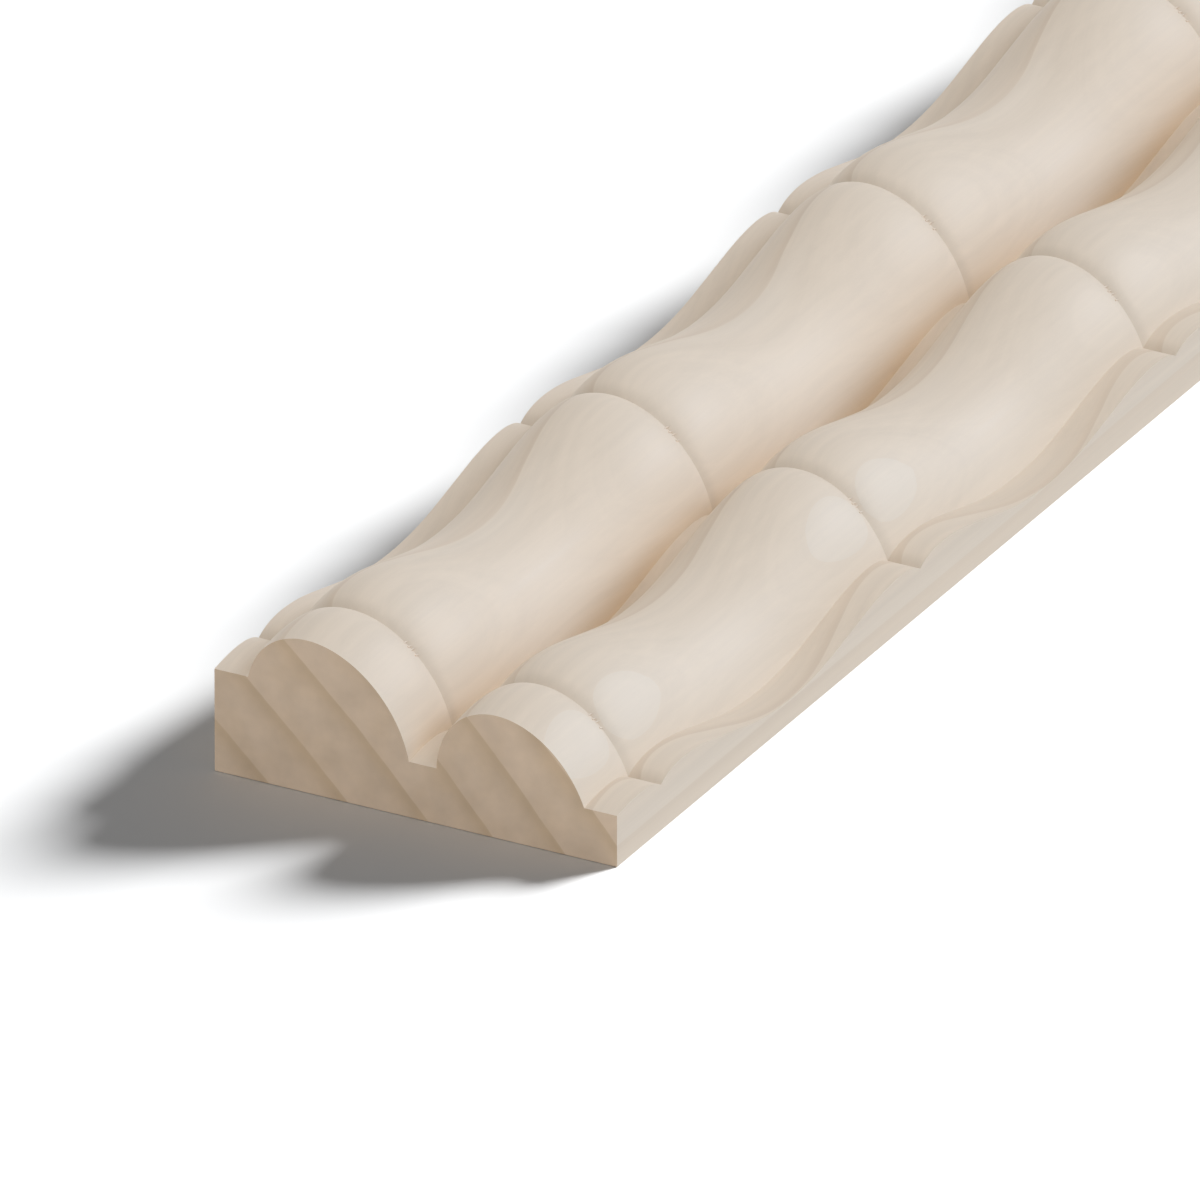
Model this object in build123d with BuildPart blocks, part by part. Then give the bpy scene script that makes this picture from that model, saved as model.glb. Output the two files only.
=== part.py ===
# Ripple moulding, one length of timber with its section cut along a rippling line
# Millimetres. X runs across the width, Y along the length and Z out of the back face.
# The origin is the middle of the flat back face, and the thick edge is at -X.

import os
from math import acos, atan2, ceil, cos, degrees, hypot, radians, sin, sqrt

from build123d import *

os.makedirs("parts", exist_ok=True)

# Stock, cut to length without regard to the ripple
length = 600.0
width = 50.0
first_groove = 10.16

# Section, with depths measured down from the flat along the thick edge
valley_depth = 5.69
thin_edge_depth = 6.22

# High bead, a tilted oval beside the thick edge
high_bead_from_edge = 14.20
high_bead_depth = 4.92
high_bead_long_radius = 12.03
high_bead_short_radius = 9.02
high_bead_tilt = -53.7

# Low bead, a tilted oval beside the thin edge
low_bead_from_edge = 37.21
low_bead_depth = 8.42
low_bead_long_radius = 11.50
low_bead_short_radius = 8.84
low_bead_tilt = -59.6

# Ripple, as heights of the flat along the thick edge
repeat = 60.5
groove_height = 11.85
crest_height = 12.95
waist_height = 9.09
crest_radius = 16.6
slope = 12.5

# Timber below the back face, which the last cut takes away
spare = 2.0

# Run from groove to crest, and the waist's radius that the straight slope runs into smoothly
run = sin(radians(slope))
dip = 1 - cos(radians(slope))
groove_to_crest = sqrt(crest_radius**2 - (crest_radius - crest_height + groove_height) ** 2)
crest_to_waist = repeat / 2 - groove_to_crest
waist_radius = (crest_to_waist * run - (crest_height - waist_height) * (1 - dip)) / dip - crest_radius
repeats = ceil((length - first_groove) / repeat) + 1


def oval_angles(long_radius, short_radius, tilt, above):
    """Both angles round a tilted oval at which it is this far above its centre, right one first."""
    along = long_radius * sin(radians(tilt))
    across = short_radius * cos(radians(tilt))
    top = atan2(across, along)
    swing = acos(above / hypot(along, across))
    return degrees(top - swing), degrees(top + swing)


def bead(from_edge, depth, long_radius, short_radius, tilt, left_depth, right_depth):
    """A bead of the section, over its top from the level on its left to the level on its right."""
    start = oval_angles(long_radius, short_radius, tilt, depth - left_depth)[1]
    end = oval_angles(long_radius, short_radius, tilt, depth - right_depth)[0]
    return EllipticalCenterArc(
        (from_edge - width / 2, groove_height - depth),
        long_radius,
        short_radius,
        start_angle=start,
        arc_size=end - start,
        rotation=tilt,
    )


# Line that the cutter follows, from a groove over the crest, down the slope, through the waist
# and up again the same way to the next groove
with BuildLine(Plane.YZ) as ripple:
    crest_end = (groove_to_crest + crest_radius * run, crest_height - crest_radius * dip)
    waist_start = (repeat / 2 - waist_radius * run, waist_height + waist_radius * dip)
    waist_end = (repeat - waist_start[0], waist_start[1])
    RadiusArc((0, groove_height), crest_end, crest_radius)
    Line(crest_end, waist_start)
    mirror(about=Plane.XZ.offset(-repeat / 2))
    RadiusArc(waist_start, waist_end, -waist_radius)

# Section where the ripple starts, at a groove
with BuildSketch(Plane.XZ) as section:
    with BuildLine():
        high_bead = bead(
            high_bead_from_edge,
            high_bead_depth,
            high_bead_long_radius,
            high_bead_short_radius,
            high_bead_tilt,
            0,
            valley_depth,
        )
        low_bead = bead(
            low_bead_from_edge,
            low_bead_depth,
            low_bead_long_radius,
            low_bead_short_radius,
            low_bead_tilt,
            valley_depth,
            thin_edge_depth,
        )
        Line(high_bead @ 1, low_bead @ 0)
        Polyline(
            low_bead @ 1,
            (width / 2, groove_height - thin_edge_depth),
            (width / 2, -spare),
            (-width / 2, -spare),
            (-width / 2, groove_height),
            high_bead @ 0,
        )
    make_face()

# One repeat of the ripple, its section kept upright all the way
with BuildPart() as one_repeat:
    add(section.sketch)
    sweep(path=ripple.line, normal=(0, 1, 0))

# Repeats joined into one length, then cut flat at the back and square at both ends
with BuildPart() as ripple_moulding:
    for number in range(repeats):
        with Locations((0, first_groove + (number - 1) * repeat - length / 2, 0)):
            add(one_repeat.part)
    split(bisect_by=Plane.XY, keep=Keep.TOP)
    split(bisect_by=Plane.XZ.offset(length / 2), keep=Keep.BOTTOM)
    split(bisect_by=Plane.XZ.offset(-length / 2), keep=Keep.TOP)
ripple_moulding.part.label = "ripple_moulding"

export_step(ripple_moulding.part, "parts/ripple_moulding.step")
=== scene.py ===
# Ripple moulding, the looks of one length of pale timber lying on its flat back.
# Driving dimensions are millimetres and every object is in metres. X runs across the width, Y
# along the length and Z out of the back face, and the thick edge is at -X.

import math

import bmesh
import bpy
from mathutils import Matrix, Vector
from mathutils.geometry import interpolate_bezier


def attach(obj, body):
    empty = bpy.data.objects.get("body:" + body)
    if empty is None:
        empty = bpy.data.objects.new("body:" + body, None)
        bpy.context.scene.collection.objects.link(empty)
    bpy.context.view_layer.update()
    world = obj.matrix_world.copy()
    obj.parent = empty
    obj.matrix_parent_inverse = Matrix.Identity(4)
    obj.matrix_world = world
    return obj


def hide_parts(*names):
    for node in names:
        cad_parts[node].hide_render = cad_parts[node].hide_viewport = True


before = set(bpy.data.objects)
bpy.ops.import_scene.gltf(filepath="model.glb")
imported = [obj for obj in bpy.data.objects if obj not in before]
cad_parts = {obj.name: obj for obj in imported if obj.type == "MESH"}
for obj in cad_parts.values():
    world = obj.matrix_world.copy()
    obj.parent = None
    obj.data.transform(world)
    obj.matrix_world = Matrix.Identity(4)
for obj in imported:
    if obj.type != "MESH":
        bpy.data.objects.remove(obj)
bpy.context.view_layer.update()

# A millimetre in metres, and how near in metres a point has to lie to a cut to be on it and to
# another point to be joined with it
MM = 0.001
on_cut = 1e-7
one_point = 1e-6

# Stock
length = 600.0
width = 50.0
first_groove = 10.16

# Section, with depths measured down from the flat along the thick edge
valley_depth = 5.69
thin_edge_depth = 6.22
bead_columns = 44

# High bead, a tilted oval beside the thick edge
high_bead_from_edge = 14.20
high_bead_depth = 4.92
high_bead_long_radius = 12.03
high_bead_short_radius = 9.02
high_bead_tilt = -53.7

# Low bead, a tilted oval beside the thin edge
low_bead_from_edge = 37.21
low_bead_depth = 8.42
low_bead_long_radius = 11.50
low_bead_short_radius = 8.84
low_bead_tilt = -59.6

# Ripple, as heights of the flat along the thick edge, from a groove to the waist
repeat = 60.5
groove_height = 11.81
groove_slope = 32.4
groove_pull = 3.85
crest_end = 12.57
crest_end_height = 11.95
crest_end_pull = 2.90
slope = 13.07
straight_run = 7.10
waist_height = 9.09
crest_rows = 20
straight_rows = 4
waist_rows = 10

# Repeats that are drawn, some of them partly beyond the ends, where the last cuts take them away
repeats = math.ceil((length - first_groove) / repeat) + 1

# Edges that turn by more than this many degrees stay sharp
sharp_edge = 20.0

# Torn fibres, where late wood crosses the bottom of each groove: where each row starts across the
# width, then how far each fibre stands from the first and how far it reaches over the groove
torn_on_high_bead = -6.5
torn_on_low_bead = 16.4
torn_fibres = [(0.0, 0.42), (0.45, 0.27), (0.85, 0.48), (1.35, 0.22)]

# How far from the groove a fibre is rooted in the near slope, its radius there, the share of that
# radius which its tip keeps, and its sides
torn_root = 0.6
torn_radius = 0.15
torn_tip = 0.25
torn_sides = 5


def oval_angles(long_radius, short_radius, tilt, above):
    """Both angles round a tilted oval at which it is this far above its centre, right one first."""
    along = long_radius * math.sin(math.radians(tilt))
    across = short_radius * math.cos(math.radians(tilt))
    top = math.atan2(across, along)
    swing = math.acos(above / math.hypot(along, across))
    return top - swing, top + swing


def bead(from_edge, depth, long_radius, short_radius, tilt, left_depth, right_depth):
    """Points over a bead of the section, from the level on its left to the level on its right."""
    start = oval_angles(long_radius, short_radius, tilt, depth - left_depth)[1]
    end = oval_angles(long_radius, short_radius, tilt, depth - right_depth)[0]
    turn = math.radians(tilt)
    points = []
    for column in range(bead_columns + 1):
        angle = start + (end - start) * column / bead_columns
        along = long_radius * math.cos(angle)
        across = short_radius * math.sin(angle)
        x = from_edge - width / 2 + along * math.cos(turn) - across * math.sin(turn)
        z = -depth + along * math.sin(turn) + across * math.cos(turn)
        points.append((x, z))
    return points


def carved_section():
    """The carved face's section from the thick edge to the thin one, heights from the flat."""
    high_bead = bead(
        high_bead_from_edge,
        high_bead_depth,
        high_bead_long_radius,
        high_bead_short_radius,
        high_bead_tilt,
        0,
        valley_depth,
    )
    low_bead = bead(
        low_bead_from_edge,
        low_bead_depth,
        low_bead_long_radius,
        low_bead_short_radius,
        low_bead_tilt,
        valley_depth,
        thin_edge_depth,
    )
    return [(-width / 2, 0.0)] + high_bead + low_bead + [(width / 2, -thin_edge_depth)]


def ripple_line():
    """One repeat of the ripple from groove to groove, as distances and heights of the flat."""
    rise = math.radians(groove_slope)
    fall = math.radians(slope)
    groove = Vector((0, groove_height))
    crest = Vector((crest_end, crest_end_height))
    half = interpolate_bezier(
        groove,
        groove + groove_pull * Vector((math.cos(rise), math.sin(rise))),
        crest + crest_end_pull * Vector((-math.cos(fall), math.sin(fall))),
        crest,
        crest_rows + 1,
    )
    step = Vector((straight_run, -straight_run * math.tan(fall))) / straight_rows
    half += [crest + step * (row + 1) for row in range(straight_rows)]
    waist_run = repeat / 2 - half[-1].x
    radius = waist_run / math.sin(fall)
    for row in range(waist_rows):
        angle = fall * (1 - (row + 1) / waist_rows)
        x = repeat / 2 - radius * math.sin(angle)
        half.append(Vector((x, waist_height + radius * (1 - math.cos(angle)))))
    other_half = [Vector((repeat - point.x, point.y)) for point in reversed(half[:-1])]
    return half + other_half


def tear_fibres(bm, section, start_x):
    """A row of short fibres that the knives tore up, in the groove where the first repeat starts.
    Each is a thin cone, with its thick end in the near slope and its tip over the groove."""
    rise = math.radians(groove_slope)
    y = first_groove - repeat - length / 2
    for step, reach in torn_fibres:
        x = start_x + step
        left, right = next(pair for pair in zip(section, section[1:]) if pair[0][0] <= x <= pair[1][0])
        z = left[1] + (right[1] - left[1]) * (x - left[0]) / (right[0] - left[0]) + groove_height
        root = Vector((x - reach / 2, y - torn_root * math.cos(rise), z + torn_root * math.sin(rise)))
        tip = Vector((x, y + reach, z + reach * math.tan(rise) + torn_radius / 2))
        turn = (tip - root).to_track_quat("Z", "Y").to_matrix().to_4x4()
        middle = Matrix.Translation((root + tip) / 2 * MM)
        bmesh.ops.create_cone(
            bm,
            cap_ends=True,
            segments=torn_sides,
            radius1=torn_radius * MM,
            radius2=torn_radius * torn_tip * MM,
            depth=(tip - root).length * MM,
            matrix=middle @ turn,
        )


def cut_square(bm, y, outward):
    """Cuts the stock square at y and closes the cut with one flat face."""
    everything = bm.verts[:] + bm.edges[:] + bm.faces[:]
    cut = bmesh.ops.bisect_plane(
        bm,
        geom=everything,
        dist=on_cut,
        plane_co=(0, y, 0),
        plane_no=(0, outward, 0),
        clear_outer=True,
    )
    edges = [item for item in cut["geom_cut"] if isinstance(item, bmesh.types.BMEdge)]
    bmesh.ops.contextual_create(bm, geom=edges)


def carve_moulding():
    """The whole length: one repeat is drawn out of the section row by row, then it is repeated."""
    bm = bmesh.new()
    line = ripple_line()
    start = (first_groove - repeat - length / 2) * MM
    section = carved_section()
    face = [bm.verts.new((x * MM, start, (z + groove_height) * MM)) for x, z in section]
    back = [bm.verts.new((side * width / 2 * MM, start, 0)) for side in (1, -1)]
    loop = face + back
    row = [bm.edges.new(pair) for pair in zip(loop, loop[1:] + loop[:1])]
    for here, there in zip(line, line[1:]):
        drawn = bmesh.ops.extrude_edge_only(bm, edges=row)["geom"]
        new_verts = [item for item in drawn if isinstance(item, bmesh.types.BMVert)]
        row = [item for item in drawn if isinstance(item, bmesh.types.BMEdge)]
        row = [edge for edge in row if all(vert in new_verts for vert in edge.verts)]
        step = (there - here) * MM
        bmesh.ops.translate(bm, verts=new_verts, vec=(0, step.x, 0))
        lifted = [vert for vert in new_verts if vert.co.z > 0]
        bmesh.ops.translate(bm, verts=lifted, vec=(0, 0, step.y))
    tear_fibres(bm, section, torn_on_high_bead)
    tear_fibres(bm, section, torn_on_low_bead)
    one_repeat = bm.verts[:] + bm.edges[:] + bm.faces[:]
    for number in range(1, repeats):
        copied = bmesh.ops.duplicate(bm, geom=one_repeat)["geom"]
        new_verts = [item for item in copied if isinstance(item, bmesh.types.BMVert)]
        bmesh.ops.translate(bm, verts=new_verts, vec=(0, number * repeat * MM, 0))
    bmesh.ops.remove_doubles(bm, verts=bm.verts[:], dist=one_point)
    cut_square(bm, -length / 2 * MM, -1)
    cut_square(bm, length / 2 * MM, 1)
    bmesh.ops.recalc_face_normals(bm, faces=bm.faces[:])
    mesh = bpy.data.meshes.new("moulding")
    bm.to_mesh(mesh)
    bm.free()
    mesh.shade_smooth()
    mesh.set_sharp_from_angle(angle=math.radians(sharp_edge))
    moulding = bpy.data.objects.new("moulding", mesh)
    bpy.context.scene.collection.objects.link(moulding)
    return moulding


def linear(code):
    """An sRGB hex colour as linear RGBA."""
    parts = [int(code[place : place + 2], 16) / 255 for place in (1, 3, 5)]
    turned = [part / 12.92 if part <= 0.04045 else ((part + 0.055) / 1.055) ** 2.4 for part in parts]
    return (*turned, 1.0)


def add_node(tree, kind, inputs=None, curve=None, **settings):
    """Adds a node with its settings, its inputs set or linked, and the points of its curve. An
    input goes by its name, or by its number where several share one: in a sum those are the
    first and the second value, and in a mix 0 is the share and 6 and 7 are the two colours."""
    node = tree.nodes.new(kind)
    for name, value in settings.items():
        setattr(node, name, value)
    for name, value in (inputs or {}).items():
        if isinstance(value, bpy.types.Node):
            value = next(output for output in value.outputs if output.enabled)
        if isinstance(value, bpy.types.NodeSocket):
            tree.links.new(value, node.inputs[name])
        else:
            node.inputs[name].default_value = value
    if curve:
        line = node.mapping.curves[0]
        for x, y in curve[1:-1]:
            line.points.new(x, y)
        for point, (x, y) in zip(line.points, curve):
            point.location = (x, y)
            point.handle_type = "AUTO_CLAMPED"
        node.mapping.update()
    return node


# Growth rings round a pith line below and to the left of the piece, by their radii in millimetres,
# and how far they waver
pith_x = -157.0
pith_z = -140.0
ring_edges = [169.6, 176.3, 183.6, 190.4, 197.2, 204.2, 211.6, 217.7, 224.55, 230.85, 238.2, 245.6]
ring_waver = 0.12

# The edge at 230.85 lies just below the highest part of the low bead, and the wood past it shows
# there as pale spots beside the first two grooves. Elsewhere the rings past bulge_from lie farther
# out, by up to bulge, so that the spots come and go. bulge_along gives the share of that along the
# length, from the near end to the far one.
bulge_from = 224.55
bulge_run = 4.0
bulge = 0.95
bulge_along = [
    (0.0, 0.0),
    (0.13, 0.0),
    (0.2, 1.0),
    (0.5, 1.0),
    (0.6, 0.25),
    (0.75, 0.0),
    (0.86, 1.0),
    (1.0, 1.0),
]

# Towards the thin edge the share is never less than edge_bulge, reached between two places in x
edge_bulge = 0.42
edge_bulge_starts = 17.2
edge_bulge_ends = 21.0

# Darkening through one ring, from its pale early wood to its edge, on the face and on the ends
face_darkening = [(0.0, 0.0), (0.4, 0.03), (0.7, 0.18), (0.88, 0.42), (0.965, 0.7), (1.0, 0.0)]
end_darkening = [(0.0, -0.2), (0.4, 0.0), (0.65, 0.2), (0.85, 0.7), (0.965, 1.0), (1.0, -0.2)]

# The youngest wood of a ring, as shares of its width where it begins to fade and has ended
young_fades = 0.02
young_ends = 0.35

# Cosine of the angle between the surface and the ring: up to the first the cut runs across the
# ring, from the second on along it, and there only this share of the late wood shows
lying_from = 0.55
lying_fully = 0.95
late_when_lying = 0.06

# Tones of the face and of the end grain
face_young = "#f1e5d5"
face_early = "#f0e2d0"
face_late = "#e2d0bb"
end_early = "#e5cdb3"
end_late = "#d5bb9c"
end_cloud = "#dbc09f"

# Patterns of the grain, each with its size across and along it in millimetres and the place in the
# noise where it starts
patterns = {
    "waver": (6.0, 90.0, 3.7),
    "streaks": (1.2, 80.0, 11.3),
    "clouds": (3.8, 3.8, 8.9),
    "warm_clouds": (3.8, 3.8, 21.4),
    "fibres": (0.2, 7.0, 2.3),
}
pattern_detail = 3.0

# Fine lines that follow the rings
growth_line_across = 1.0
growth_line_along = 160.0
growth_line_detail = 4.0
growth_line_sharpness = 0.6

# Two values between which nearly all of the noise lies
noise_span = {"From Min": 0.25, "From Max": 0.75}

# How far the patterns lighten and darken the tone
streak_depth = 0.030
growth_line_depth = 0.036
cloud_depth = 0.09
fibre_depth = 0.009

# Warm clouds of the end grain: where in the noise they start and are full, and their strength
warm_from = 0.45
warm_fully = 0.75
warm_depth = 0.35

# Painted shade on the slope past the bottom of each groove, darker than the rest by this share
painted_groove_shade = 0.11
painted_groove_shade_width = 2.0

# The painted groove shade lies on the carved face, which starts where the surface begins to look up, and
# the long sides stay plain
carved_from = 0.02
carved_fully = 0.1

# Painted warm shade in the hollows, how far off the walls of a hollow may stand in millimetres, and the
# openness at which the painted shade starts and is full
hollow_shade_tint = "#fff5e6"
hollow_reach = 8.0
hollow_from = 0.54
hollow_fully = 0.12
hollow_rays = 8

# Painted hollow shade through one repeat from groove to groove, strongest where the ripple is low
hollow_along = [(0.0, 0.45), (0.2, 0.5), (0.5, 0.95), (0.7, 1.0), (0.88, 0.55), (1.0, 0.45)]

# End grain starts where the surface turns to face along the grain
end_from = 0.8
end_fully = 0.95

# Bare surface: how proud the fibres stand in millimetres and how much of that shows, how rough the
# streaks are and how strongly the timber mirrors
fibre_height = 0.03
fibre_relief = 0.25
least_rough = 0.50
most_rough = 0.60
timber_ior = 1.5


def grain_noise(tree, mm):
    """The noise behind each pattern of the grain, stretched to its size."""
    noise = {}
    for name, (across, along, start) in patterns.items():
        size = {"Vector": mm, "Location": (start,) * 3, "Scale": (1 / across, 1 / along, 1 / across)}
        stretched = add_node(tree, "ShaderNodeMapping", size)
        drawn = {"Vector": stretched, "Scale": 1.0, "Detail": pattern_detail}
        noise[name] = add_node(tree, "ShaderNodeTexNoise", drawn)
    return noise


def ring_place(tree, mm, waver):
    """Distance from the pith with the bends of the real grain, the direction out of it, and the
    place along the length."""
    x, y, z = add_node(tree, "ShaderNodeSeparateXYZ", {"Vector": mm}).outputs
    out_x = add_node(tree, "ShaderNodeMath", {0: x, 1: pith_x}, operation="SUBTRACT")
    out_z = add_node(tree, "ShaderNodeMath", {0: z, 1: pith_z}, operation="SUBTRACT")
    outward = add_node(tree, "ShaderNodeCombineXYZ", {"X": out_x, "Z": out_z})
    direction = add_node(tree, "ShaderNodeVectorMath", {0: outward}, operation="NORMALIZE")
    straight = add_node(tree, "ShaderNodeVectorMath", {0: outward}, operation="LENGTH")

    whole = {"Value": y, "From Min": -length / 2, "From Max": length / 2}
    along = add_node(tree, "ShaderNodeMapRange", whole)
    here = add_node(tree, "ShaderNodeFloatCurve", {"Value": along}, curve=bulge_along)
    edge = {
        "Value": x,
        "From Min": edge_bulge_starts,
        "From Max": edge_bulge_ends,
        "To Max": edge_bulge,
    }
    under_edge = add_node(tree, "ShaderNodeMapRange", edge, interpolation_type="SMOOTHSTEP")
    larger = add_node(tree, "ShaderNodeMath", {0: here, 1: under_edge}, operation="MAXIMUM")
    outer_rings = {
        "Value": straight,
        "From Min": bulge_from,
        "From Max": bulge_from + bulge_run,
        "To Max": bulge,
    }
    outer = add_node(tree, "ShaderNodeMapRange", outer_rings, interpolation_type="SMOOTHSTEP")
    bulged = add_node(tree, "ShaderNodeMath", {0: larger, 1: outer}, operation="MULTIPLY")

    to_and_fro = {"Value": waver, **noise_span, "To Min": -ring_waver, "To Max": ring_waver}
    sway = add_node(tree, "ShaderNodeMapRange", to_and_fro)
    moved = add_node(tree, "ShaderNodeMath", {0: bulged, 1: sway}, operation="ADD")
    radius = add_node(tree, "ShaderNodeMath", {0: straight, 1: moved}, operation="SUBTRACT")
    return radius, direction, y


def place_in_ring(tree, radius):
    """How far out a point lies in its own ring, from nought at the inner edge to one."""
    low = ring_edges[0]
    high = ring_edges[-1]
    rings = len(ring_edges) - 1
    span = add_node(tree, "ShaderNodeMapRange", {"Value": radius, "From Min": low, "From Max": high})
    counts = [((edge - low) / (high - low), number / rings) for number, edge in enumerate(ring_edges)]
    share = add_node(tree, "ShaderNodeFloatCurve", {"Value": span}, curve=counts)
    count = add_node(tree, "ShaderNodeMath", {0: share, 1: rings}, operation="MULTIPLY")
    return add_node(tree, "ShaderNodeMath", {0: count}, operation="FRACT")


def distance_past_groove(tree, y):
    """How far a point lies past the last groove before it, in millimetres."""
    from_first = {0: y, 1: first_groove - length / 2}
    past_first = add_node(tree, "ShaderNodeMath", from_first, operation="SUBTRACT")
    return add_node(tree, "ShaderNodeMath", {0: past_first, 1: repeat, 2: 0.0}, operation="WRAP")


def face_rings(tree, in_ring, normal, direction):
    """Tone of the face by the rings. Where the cut runs along a ring instead of across it, late
    wood hardly shows and the youngest wood is open to view."""
    facing = add_node(tree, "ShaderNodeVectorMath", {0: normal, 1: direction}, operation="DOT_PRODUCT")
    lying = {"Value": facing, "From Min": lying_from, "From Max": lying_fully}
    along_ring = add_node(tree, "ShaderNodeMapRange", lying, interpolation_type="SMOOTHSTEP")
    fading = {"Value": along_ring, "To Min": 1.0, "To Max": late_when_lying}
    late_shows = add_node(tree, "ShaderNodeMapRange", fading)
    darkened = add_node(tree, "ShaderNodeFloatCurve", {"Value": in_ring}, curve=face_darkening)
    late = add_node(tree, "ShaderNodeMath", {0: darkened, 1: late_shows}, operation="MULTIPLY")
    tones = {0: late, 6: linear(face_early), 7: linear(face_late)}
    ringed = add_node(tree, "ShaderNodeMix", tones, data_type="RGBA")

    first_wood = {"Value": in_ring, "From Min": young_ends, "From Max": young_fades}
    young_wood = add_node(tree, "ShaderNodeMapRange", first_wood, interpolation_type="SMOOTHSTEP")
    young = add_node(tree, "ShaderNodeMath", {0: young_wood, 1: along_ring}, operation="MULTIPLY")
    tones = {0: young, 6: ringed, 7: linear(face_young)}
    return add_node(tree, "ShaderNodeMix", tones, data_type="RGBA")


def face_shades(tree, radius, y, past_groove, upward, noise):
    """Lighter and darker places of the face: painted shade past each groove, and everywhere softly
    streaked, finely lined along the rings and fibrous."""
    # Painted shade on the slope past each groove, on the carved face only
    painted_groove_ramp = {
        "Value": past_groove,
        "From Max": painted_groove_shade_width,
        "To Min": painted_groove_shade,
        "To Max": 0.0,
    }
    painted_groove_darkening = add_node(tree, "ShaderNodeMapRange", painted_groove_ramp, interpolation_type="SMOOTHSTEP")
    looking_up = {"Value": upward, "From Min": carved_from, "From Max": carved_fully}
    carved = add_node(tree, "ShaderNodeMapRange", looking_up)
    lost = add_node(tree, "ShaderNodeMath", {0: painted_groove_darkening, 1: carved}, operation="MULTIPLY")
    shade = add_node(tree, "ShaderNodeMath", {0: 1.0, 1: lost}, operation="SUBTRACT")

    across = add_node(tree, "ShaderNodeMath", {0: radius, 1: growth_line_across}, operation="DIVIDE")
    along = add_node(tree, "ShaderNodeMath", {0: y, 1: growth_line_along}, operation="DIVIDE")
    drawn = {
        "Vector": add_node(tree, "ShaderNodeCombineXYZ", {"X": across, "Y": along}),
        "Scale": 1.0,
        "Detail": growth_line_detail,
        "Roughness": growth_line_sharpness,
    }
    growth_lines = add_node(tree, "ShaderNodeTexNoise", drawn)
    for pattern, depth in (
        (noise["streaks"], streak_depth),
        (growth_lines, growth_line_depth),
        (noise["fibres"], fibre_depth),
    ):
        swing = {"Value": pattern, **noise_span, "To Min": 1 - depth, "To Max": 1 + depth}
        patterned = add_node(tree, "ShaderNodeMapRange", swing)
        shade = add_node(tree, "ShaderNodeMath", {0: shade, 1: patterned}, operation="MULTIPLY")
    return shade


def paint_hollow_shade(tree, open_face, past_groove):
    """The face with painted warm shade in its hollows, most where the ripple is low."""
    walls = {"Distance": hollow_reach * MM}
    around = add_node(tree, "ShaderNodeAmbientOcclusion", walls, samples=hollow_rays, only_local=True)
    closed = {"Value": around.outputs["AO"], "From Min": hollow_from, "From Max": hollow_fully}
    in_hollow = add_node(tree, "ShaderNodeMapRange", closed, interpolation_type="SMOOTHSTEP")
    through = add_node(tree, "ShaderNodeMath", {0: past_groove, 1: repeat}, operation="DIVIDE")
    here = add_node(tree, "ShaderNodeFloatCurve", {"Value": through}, curve=hollow_along)
    hollow = add_node(tree, "ShaderNodeMath", {0: in_hollow, 1: here}, operation="MULTIPLY")
    # Painted warm shade: the face multiplied by a warm tint where the hollow is closed
    hollow_tinting = {0: open_face, 1: linear(hollow_shade_tint)[:3]}
    hollow_shaded = add_node(tree, "ShaderNodeVectorMath", hollow_tinting, operation="MULTIPLY")
    return add_node(tree, "ShaderNodeMix", {0: hollow, 6: open_face, 7: hollow_shaded}, data_type="RGBA")


def end_grain(tree, in_ring, noise):
    """Tone of the ends: darker, with a wider shade at each ring edge and soft clouds."""
    darkened = add_node(tree, "ShaderNodeFloatCurve", {"Value": in_ring}, curve=end_darkening)
    tones = {0: darkened, 6: linear(end_early), 7: linear(end_late)}
    ringed = add_node(tree, "ShaderNodeMix", tones, data_type="RGBA")
    warmth = {
        "Value": noise["warm_clouds"],
        "From Min": warm_from,
        "From Max": warm_fully,
        "To Max": warm_depth,
    }
    warm = add_node(tree, "ShaderNodeMapRange", warmth)
    tones = {0: warm, 6: ringed, 7: linear(end_cloud)}
    tone = add_node(tree, "ShaderNodeMix", tones, data_type="RGBA")
    swing = {"Value": noise["clouds"], **noise_span, "To Min": 1 - cloud_depth, "To Max": 1 + cloud_depth}
    clouded = add_node(tree, "ShaderNodeMapRange", swing)
    return add_node(tree, "ShaderNodeVectorMath", {0: tone, "Scale": clouded}, operation="SCALE")


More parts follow.
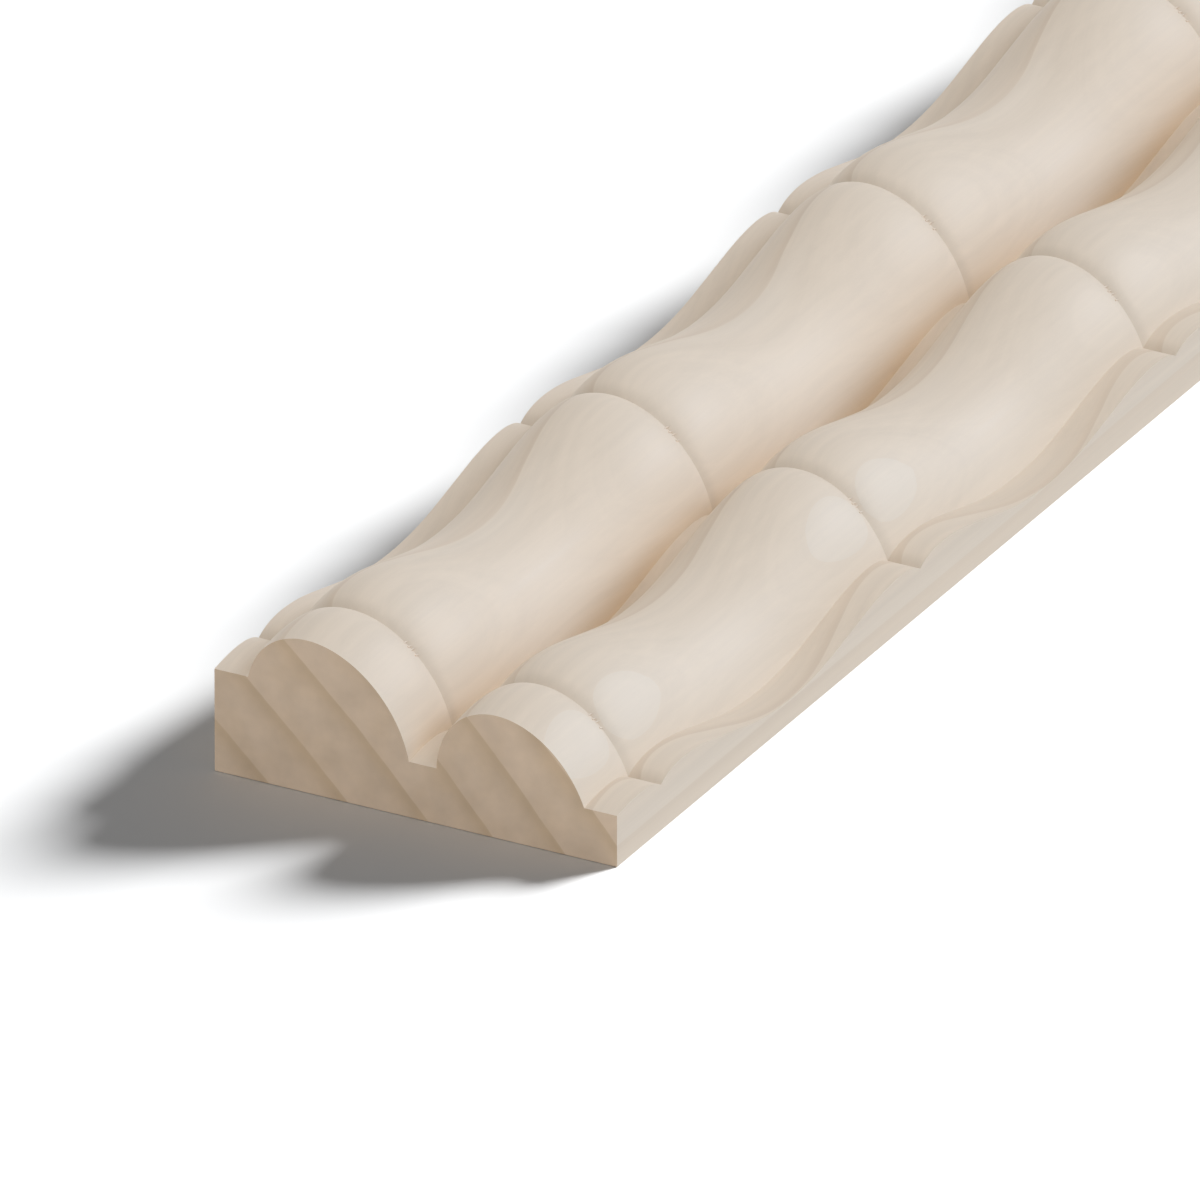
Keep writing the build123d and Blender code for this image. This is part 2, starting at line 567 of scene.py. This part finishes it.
def bare_timber():
    """Bare lime, cut by a moulding machine and left unfinished: pale, even and almost matt, with
    broad growth rings that show as fine long lines and as a darker, clouded end grain."""
    material = bpy.data.materials.new("bare_lime_wood")
    material.use_nodes = True
    tree = material.node_tree
    tree.nodes.clear()
    place = add_node(tree, "ShaderNodeTexCoord")
    normal = place.outputs["Normal"]
    along_grain, upward = add_node(tree, "ShaderNodeSeparateXYZ", {"Vector": normal}).outputs[1:]
    metres = {0: place.outputs["Object"], "Scale": 1 / MM}
    mm = add_node(tree, "ShaderNodeVectorMath", metres, operation="SCALE")
    noise = grain_noise(tree, mm)
    radius, direction, y = ring_place(tree, mm, noise["waver"])
    in_ring = place_in_ring(tree, radius)
    past_groove = distance_past_groove(tree, y)

    ringed = face_rings(tree, in_ring, normal, direction)
    # Painted shade past each groove, together with the streaks, growth lines and fibres of the grain
    shade = face_shades(tree, radius, y, past_groove, upward, noise)
    open_face = add_node(tree, "ShaderNodeVectorMath", {0: ringed, "Scale": shade}, operation="SCALE")
    # Painted warm shade in the hollows of the face
    face = paint_hollow_shade(tree, open_face, past_groove)
    end = end_grain(tree, in_ring, noise)

    # The ends are the surfaces that face along the grain
    squareness = add_node(tree, "ShaderNodeMath", {0: along_grain}, operation="ABSOLUTE")
    sawn = {"Value": squareness, "From Min": end_from, "From Max": end_fully}
    is_end = add_node(tree, "ShaderNodeMapRange", sawn, interpolation_type="SMOOTHSTEP")
    tone = add_node(tree, "ShaderNodeMix", {0: is_end, 6: face, 7: end}, data_type="RGBA")

    # The fibres stand a little proud, and the streaks differ a little in roughness
    height = {"Strength": fibre_relief, "Distance": fibre_height * MM, "Height": noise["fibres"]}
    relief = add_node(tree, "ShaderNodeBump", height)
    sheen = {"Value": noise["streaks"], **noise_span, "To Min": least_rough, "To Max": most_rough}
    roughness = add_node(tree, "ShaderNodeMapRange", sheen)
    finish = {"Base Color": tone, "Roughness": roughness, "IOR": timber_ior, "Normal": relief}
    shader = add_node(tree, "ShaderNodeBsdfPrincipled", finish)
    add_node(tree, "ShaderNodeOutputMaterial", {"Surface": shader})
    return material


# Floor, as the camera sees it and as it throws light back on the timber, its reach to each side in
# metres and the hair's breadth that keeps it clear of the back
floor_tone = "#f3f4f5"
floor_bounce_tone = "#a8a8a8"
floor_reach = 6.0
floor_clearance = 0.05

# Camera, so far off and with so long a lens that its view is almost parallel: its turn to the
# thin edge and its height above the horizon, both in degrees
camera_azimuth = 28.215
camera_elevation = 26.313
camera_distance = 6272.5
camera_lens = 1700.0
camera_sensor = 36.0

# Nearest and farthest that the camera sees, in metres
sight_starts = 0.1
sight_ends = 20.0

# What the camera looks at, and how far to the right of it and above it the picture is centred
look_at = Vector((0.0, -200.0, 8.0))
look_right = -27.107
look_up = -22.318


def place_camera():
    """The camera at the photograph's viewing angle."""
    turn = math.radians(camera_azimuth)
    rise = math.radians(camera_elevation)
    level = math.cos(rise)
    back = Vector((math.sin(turn) * level, -math.cos(turn) * level, math.sin(rise)))
    right = Vector((math.cos(turn), math.sin(turn), 0))
    up = back.cross(right)
    data = bpy.data.cameras.new("camera")
    data.lens = camera_lens
    data.sensor_width = camera_sensor
    data.clip_start = sight_starts
    data.clip_end = sight_ends
    camera = bpy.data.objects.new("camera", data)
    target = look_at + right * look_right + up * look_up
    camera.location = (target + back * camera_distance) * MM
    camera.rotation_mode = "QUATERNION"
    camera.rotation_quaternion = (-back).to_track_quat("-Z", "Y")
    bpy.context.scene.collection.objects.link(camera)
    bpy.context.scene.camera = camera


# World light as it falls on things, where the camera itself sees plain white
fill = 0.20

# Key from the far right, which also throws the floor's shadow
key_direction = (0.4495, 0.7693, 0.4540)
key_spread = 20.0
floor_key_strength = 7.2

# Lamps on the moulding, each with the direction it stands in, its strength, its spread in degrees
# and its tint
timber_lamps = {
    "timber_key": (key_direction, 1.33, key_spread, "#e6f0ff"),
    "timber_dome": ((0.0, 0.0, 1.0), 0.43, 170.0, "#ffeeda"),
    "timber_front": ((0.42, -0.79, 0.44), 1.0, 60.0, "#f4f9ff"),
    "timber_left": ((-0.8, 0.0, 0.6), 0.30, 120.0, "#ffffff"),
}


def seen_directly(tree):
    """One where the camera looks, also by way of a reflection or through glass, nought elsewhere."""
    path = add_node(tree, "ShaderNodeLightPath")
    seen = path.outputs["Is Camera Ray"]
    for ray in ("Is Glossy Ray", "Is Transmission Ray"):
        rays = {0: seen, 1: path.outputs[ray]}
        seen = add_node(tree, "ShaderNodeMath", rays, operation="ADD", use_clamp=True).outputs[0]
    return seen


def white_floor():
    """Floor sheet, plain matt white, which keeps the moulding's shadow and throws little light."""
    material = bpy.data.materials.new("matt_white_paper")
    material.use_nodes = True
    tree = material.node_tree
    tree.nodes.clear()
    tones = {0: seen_directly(tree), 6: linear(floor_bounce_tone), 7: linear(floor_tone)}
    tone = add_node(tree, "ShaderNodeMix", tones, data_type="RGBA")
    shader = add_node(tree, "ShaderNodeBsdfDiffuse", {"Color": tone})
    add_node(tree, "ShaderNodeOutputMaterial", {"Surface": shader})
    bm = bmesh.new()
    bmesh.ops.create_grid(bm, x_segments=1, y_segments=1, size=floor_reach)
    bmesh.ops.translate(bm, verts=bm.verts[:], vec=(0, 0, -floor_clearance * MM))
    mesh = bpy.data.meshes.new("floor")
    bm.to_mesh(mesh)
    bm.free()
    mesh.materials.append(material)
    floor = bpy.data.objects.new("floor", mesh)
    bpy.context.scene.collection.objects.link(floor)
    return floor


def white_surroundings():
    """World light, plain white to the camera and a soft fill to everything else."""
    world = bpy.data.worlds.new("surroundings")
    bpy.context.scene.world = world
    world.use_nodes = True
    tree = world.node_tree
    tree.nodes.clear()
    levels = {"Value": seen_directly(tree), "To Min": fill, "To Max": 1.0}
    level = add_node(tree, "ShaderNodeMapRange", levels)
    background = add_node(tree, "ShaderNodeBackground", {"Color": (1, 1, 1, 1), "Strength": level})
    add_node(tree, "ShaderNodeOutputWorld", {"Surface": background})


def soft_lamp(name, direction, strength, spread, tint, receiver):
    """A wide, distant lamp in a direction, lighting only the object it is given."""
    data = bpy.data.lights.new(name, "SUN")
    data.energy = strength
    data.angle = math.radians(spread)
    data.color = linear(tint)[:3]
    lamp = bpy.data.objects.new(name, data)
    lamp.rotation_mode = "QUATERNION"
    lamp.rotation_quaternion = Vector(direction).to_track_quat("Z", "Y")
    bpy.context.scene.collection.objects.link(lamp)
    lit = bpy.data.collections.new(name + "_lights")
    lit.objects.link(receiver)
    lamp.light_linking.receiver_collection = lit


moulding = carve_moulding()
moulding.data.materials.append(bare_timber())
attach(moulding, "root")
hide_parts("ripple_moulding")

floor = white_floor()

white_surroundings()
soft_lamp("floor_key", key_direction, floor_key_strength, key_spread, "#ffffff", floor)
for name, (direction, strength, spread, tint) in timber_lamps.items():
    soft_lamp(name, direction, strength, spread, tint, moulding)
place_camera()
bpy.context.scene.view_settings.view_transform = "Standard"
